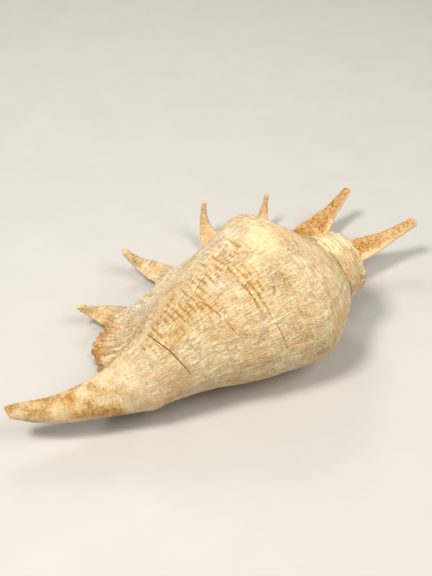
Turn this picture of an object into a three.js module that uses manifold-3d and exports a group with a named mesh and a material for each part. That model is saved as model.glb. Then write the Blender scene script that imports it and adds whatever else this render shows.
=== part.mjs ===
// A giant spider conch shell (Lambis truncata), the bleached shell of a large sea snail, lying on a surface
// with its opening down. Millimetres and degrees, +Z up, the spire at the +X end and the lip on the +Y side.
//
// The shell is one grown piece. It is built the way it grew, round a coiling axis:
//   - the last whorl, which opens out into the wide lip and runs forward into the siphonal canal,
//   - the low worn spire of the earlier whorls,
//   - six fingers, the spines on the edge of the lip.
// They are joined into one solid, worn flat where it rests.
//
// Turn angles are measured round the coiling axis: 0 is the top of the back, 90 the lip side, -90 the side
// away from the lip, -180 the underside. The shell grew towards higher angles. A cord is a spiral line of the
// shell, the line that one point of its growing edge drew; it is named by its x on the coiling axis.
import * as THREE from "three";
import { mergeVertices } from "three/addons/utils/BufferGeometryUtils.js";
import Module from "manifold-3d";

// ---- How the shell lies -------------------------------------------------------------------------

const PITCH = 5; // the spire end of the coiling axis is tipped up by this
const AXIS_HEIGHT = 40; // of the coiling axis, at x = 0
const AXIS_SIDE = -31; // y of the coiling axis
const WORN_AWAY = 1.2; // depth of the worn flats it rests on

// ---- The last whorl -----------------------------------------------------------------------------

const TURN_GROWTH = 1.6; // how much a whorl grows in one turn
const TURN_ADVANCE = 18; // how far the suture moves forward in one turn

// [cord, radius at the top of the back], from the suture at the spire to the tip of the canal
const WHORL = [
  [66, 24],
  [62, 29],
  [54, 37],
  [44, 44.5],
  [34, 48.2],
  [18, 47.2],
  [-8, 41],
  [-30, 32],
  [-52, 23.5],
  [-72, 16.5],
  [-88, 11.8],
  [-106, 8.8],
  [-126, 6.3],
  [-136, 3.8],
];
const SUTURE = WHORL[0][0];
const CANAL_TIP = WHORL[WHORL.length - 1][0];

// Swellings of the whorl: where they are, their half-widths, and their height as a share of the radius
const HUMP = { cord: 34, angle: 36, halfLength: 17, halfAngle: 32, height: 0.115 }; // the hump on the back
const CALLUS = { cord: 6, angle: -205, halfLength: 42, halfAngle: 40, height: 0.1 }; // the pad underneath

// ---- The siphonal canal -------------------------------------------------------------------------

// [cord, how far the middle of the canal has swung towards the lip, and how far it has risen]
const CANAL_LINE = [
  [-30, 0, 0],
  [-60, -2, -3],
  [-90, 2, -5],
  [-115, 9, -4],
  [-136, 18, 1],
];
const CANAL_STARTS = -50; // the cord where the whorl stops coiling
const CANAL_OPEN = -86; // the cord where only an open gutter is left
const CANAL_WALL = 3.4;
const SLIT_ANGLE = 164; // where the edge of the gutter lies on the lip side

// ---- The lip ------------------------------------------------------------------------------------

// [cord, and x, y, z where it ends on the edge of the lip], between and under the fingers
const LIP_EDGE = [
  [66, 98, -18, 28],
  [61, 112, 2, 22],
  [56, 116, 22, 16],
  [52, 111, 42, 13],
  [48, 98, 58, 8],
  [43, 86, 66, 6],
  [37, 67, 74, 6],
  [29, 48, 77, 6],
  [18, 25, 73, 6.5],
  [8, 3, 64, 7],
  [-4, -18, 56, 7],
  [-20, -42, 46, 7],
  [-34, -60, 36, 7],
  [-48, -69, 23, 8],
  [-62, -72, 9, 10],
  [-76, -79, -6, 13],
];
const LIP_END = LIP_EDGE[LIP_EDGE.length - 1][0];
const LIP_FADES = [-94, -70]; // the cords between which the lip shrinks to the edge of the gutter
const WALL = 5.5; // thickness of the wall and of the lip
const EDGE_THICKNESS = 3.6;
const LIP_ROOT = 52; // the angle where the lip leaves the round of the whorl
const LIP_DROOP = 0.12; // slope of the lip at its edge
const LIP_BEND = 0.42; // how far the round of the whorl carries into the lip, as a share of the lip's width
const UNDERSIDE = -180;
const TUCK = { whorl: 10, gutter: 4 }; // how far past the underside the inner surface runs, to close the ring
const POCKET_END = -30; // how far back the hollow reaches into the last whorl
const POCKET_CLOSES = [34, 62]; // the cords between which the hollow narrows to nothing at the suture
const FLUTES = { from: -22, to: -74, count: 5, depth: 1.6 }; // along the front of the lip
const FOLD_HEIGHT = 1.8; // of the folds that run out into the fingers

// ---- The fingers --------------------------------------------------------------------------------

// cord: the spiral line it continues; spread: half-width of its fold, in cords; knee: where it turns up; tip;
// wide: half-width where it leaves the lip; end: half-width near the tip
const FINGERS = [
  { cord: 61, spread: 2.2, knee: [132, -1, 19], tip: [160, -10, 38.5], wide: 22, end: 4.0 },
  { cord: 52, spread: 2.2, knee: [126, 48, 11], tip: [154, 52, 33], wide: 23, end: 3.6 },
  { cord: 43, spread: 2.4, knee: [96, 79, 7], tip: [99, 78, 34], wide: 16, end: 1.8 },
  { cord: 32, spread: 2.6, knee: [52, 94, 7], tip: [55, 93, 35], wide: 16, end: 1.8 },
  { cord: 10, spread: 3.4, knee: [-6, 81, 8], tip: [-15, 84, 26], wide: 18, end: 2.8 },
  { cord: -20, spread: 4.6, knee: [-53, 57, 6], tip: [-64, 52, 23], wide: 18, end: 3.2 },
];
const INSIDE_LIP = 0.45; // how far back from the lip's edge a finger starts, as a share of the lip's width
const AT_EDGE = 0.32; // how far along its own length it crosses the edge
const LEAVES_LIP = [0.9, 2.1]; // from where to where it stops following the lip's bend, as shares of that
const TAPER = 2.1; // how fast it narrows after that
const THIN_ROOT = 0.9; // half-thickness where it starts
const THICKENS = [0.1, 0.6]; // from where to where along its length it grows to its full thickness
const FLATNESS = 0.9; // thickness as a share of the width, near the tip
const BLUNT = 0.45; // size of the end face, as a share of the finger's width there
const GUTTER = { depth: 0.6, halfAngle: 0.7 }; // along its underside

// ---- The spire ----------------------------------------------------------------------------------

const SPIRE = {
  foot: 42, // x on the coiling axis where it starts, inside the last whorl
  shoulder: 68, // where the crescent of the whorl before meets the suture
  rim: 82, // the knobbly rim
  top: 86, // the worn apex
  footRadius: 23.5,
  rimRadius: 19,
  swing: 3, // how far its middle lies off the coiling axis, towards the lip
  rise: 1.2, // and up
  knobs: 19,
  knobHeight: 1.3,
};

// ---- Mesh density -------------------------------------------------------------------------------

const STEPS_PER_ROW = 3; // cords between two rows of the lip's table
const CANAL_STEPS = 8;
const LIP_STEPS = 7;
const WALL_STEPS = 6;
const BODY_STEPS = 12;
const BODY_STEP_ANGLE = 8; // from the last point on the wall to the first one on the body
const FINGER_STEPS = 8;
const FINGER_SIDES = 12;
const SPIRE_SIDES = 3 * SPIRE.knobs;

// ---- Small helpers ------------------------------------------------------------------------------

const radians = THREE.MathUtils.degToRad;
const { clamp, lerp, smoothstep } = THREE.MathUtils;
const bell = (offset, halfWidth) => Math.exp(-((offset / halfWidth) ** 2));

// The value of a table at x, on a smooth curve through its rows, which run from the highest x to the lowest.
function along(table, x, column = 1) {
  let i = 0;
  while (i < table.length - 2 && x < table[i + 1][0]) i++;
  const row = (k) => table[clamp(k, 0, table.length - 1)];
  const slope = (a, b) => (b[column] - a[column]) / (b[0] - a[0]);
  const [before, start, end, after] = [row(i - 1), row(i), row(i + 1), row(i + 2)];
  const span = end[0] - start[0];
  const t = clamp((x - start[0]) / span, 0, 1);
  const leaving = slope(before, end) * span * t * (1 - t) ** 2;
  const arriving = slope(start, after) * span * t ** 2 * (t - 1);
  return lerp(start[column], end[column], t ** 2 * (3 - 2 * t)) + leaving + arriving;
}

// A point given along the coiling axis and across it, where it lies in the resting shell.
function place(x, y, z) {
  const tip = radians(PITCH);
  return new THREE.Vector3(
    x * Math.cos(tip) - z * Math.sin(tip),
    y + AXIS_SIDE,
    x * Math.sin(tip) + z * Math.cos(tip) + AXIS_HEIGHT,
  );
}

// A closed surface over rings of points, each ring closed on itself, with a cap on the first and the last.
function solidFromRings(rings, cap) {
  const sides = rings[0].length;
  const last = (rings.length - 1) * sides;
  const index = [];
  for (let start = 0; start < last; start += sides)
    for (let i = 0; i < sides; i++) {
      const a = start + i;
      const b = start + ((i + 1) % sides);
      index.push(a, a + sides, b, b, a + sides, b + sides);
    }
  for (const [a, b, c] of cap(sides)) index.push(a, b, c, last + c, last + b, last + a);
  const geometry = new THREE.BufferGeometry().setFromPoints(rings.flat());
  geometry.setIndex(index);
  return geometry;
}

// The cap of a round ring: a fan.
const fan = (sides) => Array.from({ length: sides - 2 }, (_, i) => [0, i + 1, i + 2]);

// The cap of a ring that runs out along one line and back along another: a ladder between the two.
function ladder(sides) {
  const faces = [];
  for (let i = 0; i < sides / 2 - 1; i++) {
    const back = sides - 1 - i;
    faces.push([i, i + 1, back - 1], [i, back - 1, back]);
  }
  return faces;
}

// ---- The last whorl and the canal ---------------------------------------------------------------

const coiled = (cord) => smoothstep(cord, CANAL_OPEN, CANAL_STARTS); // 1 in the whorl, 0 in the canal
const winged = (cord) => smoothstep(cord, ...LIP_FADES); // 1 where the lip stands out, 0 on the canal
const growth = (angle) => TURN_GROWTH ** (angle / 360);
const wallAt = (cord) => lerp(CANAL_WALL, WALL, coiled(cord));
const pocketEnd = (cord) => lerp(POCKET_END, LIP_ROOT - 6, smoothstep(cord, ...POCKET_CLOSES));

// A point round the coiling axis on a cord, at a radius.
function onCord(cord, angle, radius) {
  const turn = radians(angle);
  const advance = (TURN_ADVANCE * smoothstep(cord, CANAL_OPEN, SUTURE) * (angle + 90)) / 360;
  const swing = along(CANAL_LINE, cord, 1);
  const rise = along(CANAL_LINE, cord, 2);
  return place(cord - advance, radius * Math.sin(turn) + swing, radius * Math.cos(turn) + rise);
}

function whorlRadius(cord, angle) {
  const swelling = ({ height, halfLength, halfAngle, ...top }) =>
    height * bell(cord - top.cord, halfLength) * bell(angle - top.angle, halfAngle);
  const round = along(WHORL, cord) * lerp(1, growth(angle), coiled(cord));
  return round * (1 + swelling(HUMP) + swelling(CALLUS));
}

const whorlOutside = (cord, angle) => onCord(cord, angle, whorlRadius(cord, angle));
const whorlInside = (cord, angle) => onCord(cord, angle, whorlRadius(cord, angle) - wallAt(cord));

// The inner surface from the end of the hollow (t = 0) to the underside (t = 1). In the whorl it is the whorl
// before, one turn back; in the canal it is the inside of the gutter.
function columella(cord, t) {
  const oneTurnBack = lerp(pocketEnd(cord) - 360, UNDERSIDE - TUCK.whorl, t);
  const roundTheGutter = lerp(pocketEnd(cord) - BODY_STEP_ANGLE, UNDERSIDE - TUCK.gutter, t);
  const inWhorl = onCord(cord, oneTurnBack, along(WHORL, cord) * growth(oneTurnBack));
  const inCanal = onCord(cord, roundTheGutter, along(WHORL, cord) - wallAt(cord));
  return inCanal.lerp(inWhorl, coiled(cord));
}

// ---- The lip ------------------------------------------------------------------------------------

// Where a cord ends: on the edge of the lip, or on the edge of the canal's gutter.
function cordEnd(cord) {
  const onLip = [1, 2, 3].map((column) => along(LIP_EDGE, Math.max(cord, LIP_END), column));
  return whorlOutside(cord, SLIT_ANGLE).lerp(new THREE.Vector3(...onLip), winged(cord));
}

// The line of a cord across the lip, from its edge (t = 0) to the whorl (t = 1).
function lipLine(cord) {
  const onward = (angle) => whorlOutside(cord, angle + 1).sub(whorlOutside(cord, angle - 1)).normalize();
  const root = whorlOutside(cord, LIP_ROOT);
  const edge = cordEnd(cord);
  const outward = edge.clone().sub(root).setZ(0).normalize().setZ(-LIP_DROOP);
  const out = onward(SLIT_ANGLE).lerp(outward, winged(cord)).normalize();
  const reach = edge.distanceTo(root) * LIP_BEND;
  return new THREE.CubicBezierCurve3(
    edge,
    edge.clone().addScaledVector(out, -reach),
    root.clone().addScaledVector(onward(LIP_ROOT), reach),
    root,
  );
}

// How far flutes and folds lift the lip at t along a cord.
function lipRelief(cord, t) {
  const across = clamp((cord - FLUTES.from) / (FLUTES.to - FLUTES.from), 0, 1);
  const envelope = Math.sin(across * Math.PI) ** 0.5;
  const flutes = FLUTES.depth * envelope * Math.sin(across * FLUTES.count * 2 * Math.PI);
  const folds = FINGERS.map((finger) => FOLD_HEIGHT * bell(cord - finger.cord, finger.spread));
  const lift = folds.reduce((sum, fold) => sum + fold, flutes);
  return lift * (1 - t) ** 1.5 * winged(cord);
}

// The upper and the lower point of the lip at t along a cord.
function lipPoints(cord, t) {
  const nextCord = 0.25;
  const line = lipLine(cord);
  const acrossCords = lipLine(cord + nextCord).getPoint(t).sub(lipLine(cord - nextCord).getPoint(t));
  const normal = line.getTangent(t).cross(acrossCords).normalize();
  const thickness = lerp(EDGE_THICKNESS, wallAt(cord), smoothstep(t, 0, 0.5));
  const upper = line.getPoint(t).addScaledVector(normal, lipRelief(cord, t));
  return [upper, upper.clone().addScaledVector(normal, -thickness)];
}

// ---- The last whorl, the lip and the canal as one solid -----------------------------------------

// One cord as a closed ring: the outer surface from the edge of the lip round to the underside, and the inner
// surface back again.
function cordRing(cord) {
  const outer = [];
  const inner = [];
  for (let i = 0; i < LIP_STEPS; i++) {
    const [upper, lower] = lipPoints(cord, i / LIP_STEPS);
    outer.push(upper);
    inner.push(lower);
  }
  for (let i = 0; i <= WALL_STEPS; i++) {
    const angle = lerp(LIP_ROOT, pocketEnd(cord), i / WALL_STEPS);
    outer.push(whorlOutside(cord, angle));
    inner.push(whorlInside(cord, angle));
  }
  for (let i = 0; i <= BODY_STEPS; i++) {
    const angle = lerp(pocketEnd(cord) - BODY_STEP_ANGLE, UNDERSIDE, i / BODY_STEPS);
    outer.push(whorlOutside(cord, angle));
    inner.push(columella(cord, i / BODY_STEPS));
  }
  return [...outer, ...inner.reverse()];
}

// The cords from the suture to the tip of the canal, closest together where the edge of the lip is longest.
function allCords() {
  const cords = [];
  for (let row = 1; row < LIP_EDGE.length; row++)
    for (let i = 0; i < STEPS_PER_ROW; i++)
      cords.push(lerp(LIP_EDGE[row - 1][0], LIP_EDGE[row][0], i / STEPS_PER_ROW));
  for (let i = 0; i <= CANAL_STEPS; i++) cords.push(lerp(LIP_END, CANAL_TIP, i / CANAL_STEPS));
  return cords;
}

const lastWhorl = () => solidFromRings(allCords().map(cordRing), ladder);

// ---- A finger -----------------------------------------------------------------------------------

// The middle of the lip's thickness at t along a cord.
function insideLip(cord, t) {
  const [upper, lower] = lipPoints(cord, t);
  return upper.lerp(lower, 0.5);
}

// A spine that starts thin inside the lip and follows its bend, is widest where it leaves the edge and tapers
// along a bent line to its tip, with a gutter along its underside.
function finger({ cord, knee, tip, wide, end }) {
  const line = new THREE.CubicBezierCurve3(
    insideLip(cord, INSIDE_LIP),
    insideLip(cord, 0),
    new THREE.Vector3(...knee),
    new THREE.Vector3(...tip),
  );
  const heading = line.getPoint(1).sub(line.getPoint(0)).setZ(0).normalize();
  const side = new THREE.Vector3(-heading.y, heading.x, 0);
  const alongEdge = cordEnd(cord + 0.5).sub(cordEnd(cord - 0.5));
  const cordsPerMm = Math.sign(alongEdge.dot(side)) / alongEdge.length();
  const rings = [];
  for (let k = 0; k <= FINGER_STEPS; k++) {
    const t = k / FINGER_STEPS;
    const up = new THREE.Vector3().crossVectors(line.getTangent(t), side).normalize();
    const swell = smoothstep(t, -0.15, AT_EDGE);
    const taper = Math.min(1, (1 - t) / (1 - AT_EDGE)) ** TAPER;
    const size = k === FINGER_STEPS ? BLUNT : 1;
    const halfWidth = lerp(end, wide, taper) * swell * size;
    const halfHeight = lerp(THIN_ROOT, end * FLATNESS, smoothstep(t, ...THICKENS)) * size;
    const gutterDepth = GUTTER.depth * halfHeight * Math.sqrt(Math.sin(Math.PI * t));
    const onLip = Math.max(INSIDE_LIP * (1 - t / AT_EDGE), 0);
    const free = smoothstep(t, AT_EDGE * LEAVES_LIP[0], AT_EDGE * LEAVES_LIP[1]);
    const ring = [];
    for (let i = 0; i < FINGER_SIDES; i++) {
      const turn = Math.PI * (1 - (2 * i) / FINGER_SIDES);
      const gutter = gutterDepth * bell(turn + Math.PI / 2, GUTTER.halfAngle);
      const across = halfWidth * Math.cos(turn);
      const past = line.getPoint(t).addScaledVector(side, across);
      const point = insideLip(cord + across * cordsPerMm, onLip).lerp(past, free);
      ring.push(point.addScaledVector(up, halfHeight * Math.sin(turn) + gutter));
    }
    rings.push(ring);
  }
  return solidFromRings(rings, fan);
}

// ---- The spire ----------------------------------------------------------------------------------

// A crescent of the whorl before, its knobbly rim, and the low worn cone of the first whorls.
function spire() {
  const { foot, shoulder, rim, top, footRadius, rimRadius } = SPIRE;
  const knobs = (angle) => Math.abs(Math.cos((SPIRE.knobs * angle) / 2));
  const profile = [
    { x: foot, radius: footRadius, knob: 0 },
    { x: shoulder, radius: footRadius, knob: 0 },
    { x: lerp(shoulder, rim, 0.6), radius: lerp(footRadius, rimRadius, 0.55), knob: 0 },
    { x: rim - 1.5, radius: rimRadius, knob: 1 },
    { x: rim, radius: rimRadius * 0.97, knob: 1 },
    { x: rim + 0.8, radius: rimRadius * 0.86, knob: 0.4 },
    { x: rim + 0.2, radius: rimRadius * 0.7, knob: 0 },
    { x: rim + 2.2, radius: rimRadius * 0.58, knob: 0.3 },
    { x: rim + 1.8, radius: rimRadius * 0.42, knob: 0 },
    { x: top, radius: rimRadius * 0.25, knob: 0 },
  ];
  const rings = profile.map(({ x, radius, knob }) =>
    Array.from({ length: SPIRE_SIDES }, (_, i) => {
      const angle = (i / SPIRE_SIDES) * 2 * Math.PI;
      const r = radius + knob * SPIRE.knobHeight * knobs(angle);
      return place(x, r * Math.sin(angle) + SPIRE.swing, r * Math.cos(angle) + SPIRE.rise);
    }),
  );
  return solidFromRings(rings, fan);
}

// ---- Joining ------------------------------------------------------------------------------------

const wasm = await Module();
wasm.setup();

function solid(geometry) {
  const merged = mergeVertices(geometry, 1e-4);
  const mesh = new wasm.Mesh({
    numProp: 3,
    vertProperties: new Float32Array(merged.attributes.position.array),
    triVerts: new Uint32Array(merged.index.array),
  });
  return new wasm.Manifold(mesh);
}

function geometryOf(manifold) {
  const mesh = manifold.getMesh();
  const geometry = new THREE.BufferGeometry();
  geometry.setAttribute("position", new THREE.BufferAttribute(mesh.vertProperties, 3));
  geometry.setIndex(new THREE.BufferAttribute(mesh.triVerts, 1));
  return geometry;
}

// Takes away everything below a height.
function wornFlat(manifold, height) {
  const ground = { width: 500, depth: 60 };
  const block = new THREE.BoxGeometry(ground.width, ground.width, ground.depth);
  block.deleteAttribute("normal");
  block.deleteAttribute("uv");
  block.translate(0, 0, height - ground.depth / 2);
  return manifold.subtract(solid(block));
}

function shell() {
  const pieces = [lastWhorl(), spire(), ...FINGERS.map(finger)].map(solid);
  const joined = pieces.reduce((whole, piece) => whole.add(piece));
  const lowest = joined.boundingBox().min[2];
  const geometry = geometryOf(wornFlat(joined, lowest + WORN_AWAY));
  geometry.computeBoundingBox();
  const { min, max } = geometry.boundingBox;
  geometry.translate(-(min.x + max.x) / 2, -(min.y + max.y) / 2, -min.z);
  const material = new THREE.MeshStandardMaterial({ color: 0xd8bc8c, roughness: 0.6, metalness: 0 });
  const mesh = new THREE.Mesh(geometry, material);
  mesh.name = "shell";
  return mesh;
}

const group = new THREE.Group();
group.add(shell());
export default group;
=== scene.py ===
import itertools
import math
from types import SimpleNamespace
import bmesh
import bpy
import numpy as np
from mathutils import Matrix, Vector
from mathutils.bvhtree import BVHTree


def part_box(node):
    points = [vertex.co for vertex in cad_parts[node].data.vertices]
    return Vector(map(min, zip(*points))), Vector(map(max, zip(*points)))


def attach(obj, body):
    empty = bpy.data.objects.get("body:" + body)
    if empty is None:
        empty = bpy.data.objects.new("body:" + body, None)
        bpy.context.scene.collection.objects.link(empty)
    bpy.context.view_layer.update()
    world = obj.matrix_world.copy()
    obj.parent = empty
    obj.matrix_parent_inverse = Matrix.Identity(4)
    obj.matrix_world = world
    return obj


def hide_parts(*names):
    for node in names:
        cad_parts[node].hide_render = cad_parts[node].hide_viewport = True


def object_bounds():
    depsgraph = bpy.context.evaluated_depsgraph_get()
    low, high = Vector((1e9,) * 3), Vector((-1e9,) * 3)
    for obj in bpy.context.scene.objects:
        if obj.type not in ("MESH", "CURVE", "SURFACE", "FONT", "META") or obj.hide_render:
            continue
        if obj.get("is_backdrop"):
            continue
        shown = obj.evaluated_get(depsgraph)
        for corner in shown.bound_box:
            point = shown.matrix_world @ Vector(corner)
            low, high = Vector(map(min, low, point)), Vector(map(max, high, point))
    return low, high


# The look of a giant spider conch shell lying on its opening. The shell is built the way it grew, in the
# same proportions as the solid it replaces: a last whorl that opens into a wide lip and runs into the
# siphonal canal, a low worn spire, and six fingers on the lip's edge. They are fused and smoothed, and then
# get their relief and their markings, which both follow the two sets of lines every such shell has:
#   cord    the spiral line a point lies on, in millimetres along the coiling axis,
#   growth  how far along that line it was laid down, in degrees round the axis and on across the lip.
# Shape is worked out in millimetres and handed over in metres.

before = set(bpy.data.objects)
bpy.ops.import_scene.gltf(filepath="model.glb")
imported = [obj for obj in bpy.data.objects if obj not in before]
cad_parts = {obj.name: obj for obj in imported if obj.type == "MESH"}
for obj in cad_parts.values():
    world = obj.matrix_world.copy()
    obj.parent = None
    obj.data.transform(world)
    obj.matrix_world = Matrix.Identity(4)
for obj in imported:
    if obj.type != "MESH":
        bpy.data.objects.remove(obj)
SEED = 7
MM = 0.001

# ---- Proportions of the shell, in millimetres and degrees ----

PITCH = 5.0  # how far the coiling axis tips up towards the spire
AXIS_HEIGHT = 40.0
AXIS_SIDE = -31.0
WORN_AWAY = 1.2  # how much of the lowest places is worn flat, where the shell lies on the ground

TURN_GROWTH = 1.6  # how many times wider the whorl gets in one turn
TURN_ADVANCE = 18.0  # how far it moves down the axis in one turn
# [cord, radius at the top of the back]
WHORL = np.array([
    [66, 24], [62, 29], [54, 37], [44, 44.5], [34, 48.2], [18, 47.2], [-8, 41], [-30, 32],
    [-52, 23.5], [-72, 16.5], [-88, 11.8], [-106, 8.8], [-126, 6.3], [-136, 3.8],
], float)
SUTURE = WHORL[0, 0]
CANAL_TIP = WHORL[-1, 0]
# Two swellings of the whorl: where, how far each reaches, and its height as a part of the radius
HUMP = dict(cord=34, angle=36, length=17, turn=32, height=0.115)
CALLUS = dict(cord=6, angle=-205, length=42, turn=40, height=0.10)

# [cord, swing towards the lip, rise] of the canal's middle
CANAL_LINE = np.array([[-30, 0, 0], [-60, -2, -3], [-90, 2, -5], [-115, 9, -4], [-136, 18, 1]], float)
CANAL_STARTS = -50.0
CANAL_OPEN = -86.0
CANAL_WALL = 3.4
SLIT_ANGLE = 164.0  # where the canal's slit opens, round from the top

# [cord, and x, y, z where it ends on the edge of the lip]
LIP_EDGE = np.array([
    [66, 98, -18, 28], [61, 112, 2, 22], [56, 116, 22, 16], [52, 111, 42, 13], [48, 98, 58, 8],
    [43, 86, 66, 6], [37, 67, 74, 6], [29, 48, 77, 6], [18, 25, 73, 6.5], [8, 3, 64, 7],
    [-4, -18, 56, 7], [-20, -42, 46, 7], [-34, -60, 36, 7], [-48, -69, 23, 8], [-62, -72, 9, 10],
    [-76, -79, -6, 13],
], float)
LIP_END = LIP_EDGE[-1, 0]
LIP_FADES = (-94.0, -70.0)
WALL = 5.5
EDGE_THICKNESS = 3.6
LIP_ROOT = 52.0  # the angle at which the lip leaves the whorl
LIP_DROOP = 0.12
LIP_BEND = 0.42
UNDERSIDE = -180.0
TUCK = dict(whorl=10.0, gutter=4.0)  # how much further round the inner skin ends than the outer
WALL_TO_BODY = 8.0
POCKET_END = -30.0  # the angle at which the hollow in the whorl ends
POCKET_CLOSES = (34.0, 62.0)
POCKET_AT_SPIRE = LIP_ROOT - 6.0
FLUTES = dict(start=-22.0, end=-74.0, count=5, depth=1.6)
FOLD_HEIGHT = 1.8

# A finger leaves the lip's edge at its cord, bends towards its knee and ends at its tip. Its half width
# goes from wide to end, and a fold as wide as its spread runs up the lip.
FINGERS = [
    dict(cord=61, spread=2.2, knee=(132, -1, 19), tip=(160, -10, 38.5), wide=22, end=4.0),
    dict(cord=52, spread=2.2, knee=(126, 48, 11), tip=(154, 52, 33), wide=23, end=3.6),
    dict(cord=43, spread=2.4, knee=(96, 79, 7), tip=(99, 78, 34), wide=16, end=1.8),
    dict(cord=32, spread=2.6, knee=(52, 94, 7), tip=(55, 93, 35), wide=16, end=1.8),
    dict(cord=10, spread=3.4, knee=(-6, 81, 8), tip=(-15, 84, 26), wide=18, end=2.8),
    dict(cord=-20, spread=4.6, knee=(-53, 57, 6), tip=(-64, 52, 23), wide=18, end=3.2),
]
INSIDE_LIP = 0.45  # where across the lip a finger starts, inside its thickness
AT_EDGE = 0.32  # the part of its length that is inside the lip
LEAVES_LIP = (0.9, 2.1)  # it stops following the lip between these multiples of AT_EDGE
TAPER = 2.1
THIN_ROOT = 0.9
THICKENS = (0.1, 0.6)
FLATNESS = 0.9
GUTTER_DEPTH = 0.6
GUTTER_ANGLE = 0.7

# Places and radii of the spire along the coiling axis, and the knobs round its rim
SPIRE = dict(foot=42, shoulder=68, rim=82, top=86, foot_radius=23.5, rim_radius=19,
             swing=3, rise=1.2, knobs=19, knob_height=1.3)
KNOB_SHARPNESS = 1.4  # the knobs are this much higher than the coarse solid's, because smoothing lowers them

LIP_GROWTH = 95.0  # growth units from the lip's root to its edge
SPIRE_GROWTH = 50.0  # the spire's growth lines run from here at its top to minus this at its underside

# ---- Helpers ----


def smoothstep(x, low, high):
    """Runs smoothly from 0 to 1 as x goes from low to high."""
    t = np.clip((x - low) / (high - low), 0.0, 1.0)
    return t * t * (3 - 2 * t)


def lerp(a, b, t):
    return a + (b - a) * t


def bell(offset, half_width):
    """1 where the offset is 0, fading away on both sides."""
    return np.exp(-((offset / half_width) ** 2))


def unit(v):
    return v / np.maximum(np.linalg.norm(v, axis=-1, keepdims=True), 1e-12)


def along(table, x, column=1):
    """The table's value at x, on a smooth curve through its rows, which run from the highest x down."""
    keys, values = table[:, 0], table[:, column]
    i = np.minimum(np.searchsorted(-keys[1:], -x, side="left"), len(keys) - 2)
    before, after = np.maximum(i - 1, 0), np.minimum(i + 2, len(keys) - 1)
    span = keys[i + 1] - keys[i]
    t = np.clip((x - keys[i]) / span, 0, 1)
    leaving = (values[i + 1] - values[before]) / (keys[i + 1] - keys[before]) * span
    arriving = (values[after] - values[i]) / (keys[after] - keys[i]) * span
    ease = lerp(values[i], values[i + 1], t * t * (3 - 2 * t))
    return ease + leaving * t * (1 - t) ** 2 + arriving * t * t * (t - 1)


def place(x, y, z):
    """A point given along and round the coiling axis, where the axis lies in the scene."""
    tip = math.radians(PITCH)
    return np.stack([
        x * math.cos(tip) - z * math.sin(tip),
        y + AXIS_SIDE,
        x * math.sin(tip) + z * math.cos(tip) + AXIS_HEIGHT,
    ], axis=-1)


# ---- The last whorl and the lip ----


def coiled(cord):
    """1 on the whorl, 0 on the canal."""
    return smoothstep(cord, CANAL_OPEN, CANAL_STARTS)


def winged(cord):
    """1 on the cords that end on the edge of the lip, 0 on those of the canal."""
    return smoothstep(cord, *LIP_FADES)


def growth_of(angle):
    """How many times wider the whorl is than at the top of the back."""
    return TURN_GROWTH ** (angle / 360)


def wall_at(cord):
    return lerp(CANAL_WALL, WALL, coiled(cord))


def pocket_end(cord):
    """The angle at which the hollow ends, which comes up to the lip beside the spire."""
    return lerp(POCKET_END, POCKET_AT_SPIRE, smoothstep(cord, *POCKET_CLOSES))


def on_cord(cord, angle, radius):
    """The point at an angle and a radius, which moves down the axis as it goes round."""
    turn = np.radians(angle)
    advance = TURN_ADVANCE * smoothstep(cord, CANAL_OPEN, SUTURE) * (angle + 90) / 360
    swing, rise = along(CANAL_LINE, cord, 1), along(CANAL_LINE, cord, 2)
    return place(cord - advance, radius * np.sin(turn) + swing, radius * np.cos(turn) + rise)


def swelling(bump, cord, angle):
    near = bell(cord - bump["cord"], bump["length"]) * bell(angle - bump["angle"], bump["turn"])
    return bump["height"] * near


def whorl_radius(cord, angle):
    size = along(WHORL, cord) * lerp(1, growth_of(angle), coiled(cord))
    return size * (1 + swelling(HUMP, cord, angle) + swelling(CALLUS, cord, angle))


def whorl_outside(cord, angle):
    return on_cord(cord, angle, whorl_radius(cord, angle))


def whorl_inside(cord, angle):
    return on_cord(cord, angle, whorl_radius(cord, angle) - wall_at(cord))


def columella(cord, t):
    """The inner skin from the hollow's end to the underside: the whorl before, or the canal's gutter."""
    turn_back = lerp(pocket_end(cord) - 360, UNDERSIDE - TUCK["whorl"], t)
    round_gutter = lerp(pocket_end(cord) - WALL_TO_BODY, UNDERSIDE - TUCK["gutter"], t)
    in_whorl = on_cord(cord, turn_back, along(WHORL, cord) * growth_of(turn_back))
    in_canal = on_cord(cord, round_gutter, along(WHORL, cord) - wall_at(cord))
    return lerp(in_canal, in_whorl, coiled(cord)[..., None])


def lip_controls(cord):
    """The four control points of a cord's line across the lip, from its edge to the whorl."""
    def onward(angle):
        return unit(whorl_outside(cord, angle + 1) - whorl_outside(cord, angle - 1))

    root = whorl_outside(cord, np.full_like(cord, LIP_ROOT))
    on_slit = whorl_outside(cord, np.full_like(cord, SLIT_ANGLE))
    clamped = np.maximum(cord, LIP_END)
    on_lip = np.stack([along(LIP_EDGE, clamped, c) for c in (1, 2, 3)], axis=-1)
    wing = winged(cord)[..., None]
    edge = lerp(on_slit, on_lip, wing)
    outward = unit((edge - root) * np.array([1, 1, 0]))
    outward[..., 2] = -LIP_DROOP
    out = unit(lerp(onward(SLIT_ANGLE), outward, wing))
    reach = np.linalg.norm(edge - root, axis=-1, keepdims=True) * LIP_BEND
    return edge, edge - out * reach, root + onward(LIP_ROOT) * reach, root


def bezier(controls, t):
    a, b, c, d = controls
    t = t[..., None]
    s = 1 - t
    return s ** 3 * a + 3 * s * s * t * b + 3 * s * t * t * c + t ** 3 * d


def bezier_tangent(controls, t):
    a, b, c, d = controls
    t = t[..., None]
    s = 1 - t
    return unit(3 * s * s * (b - a) + 6 * s * t * (c - b) + 3 * t * t * (d - c))


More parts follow.
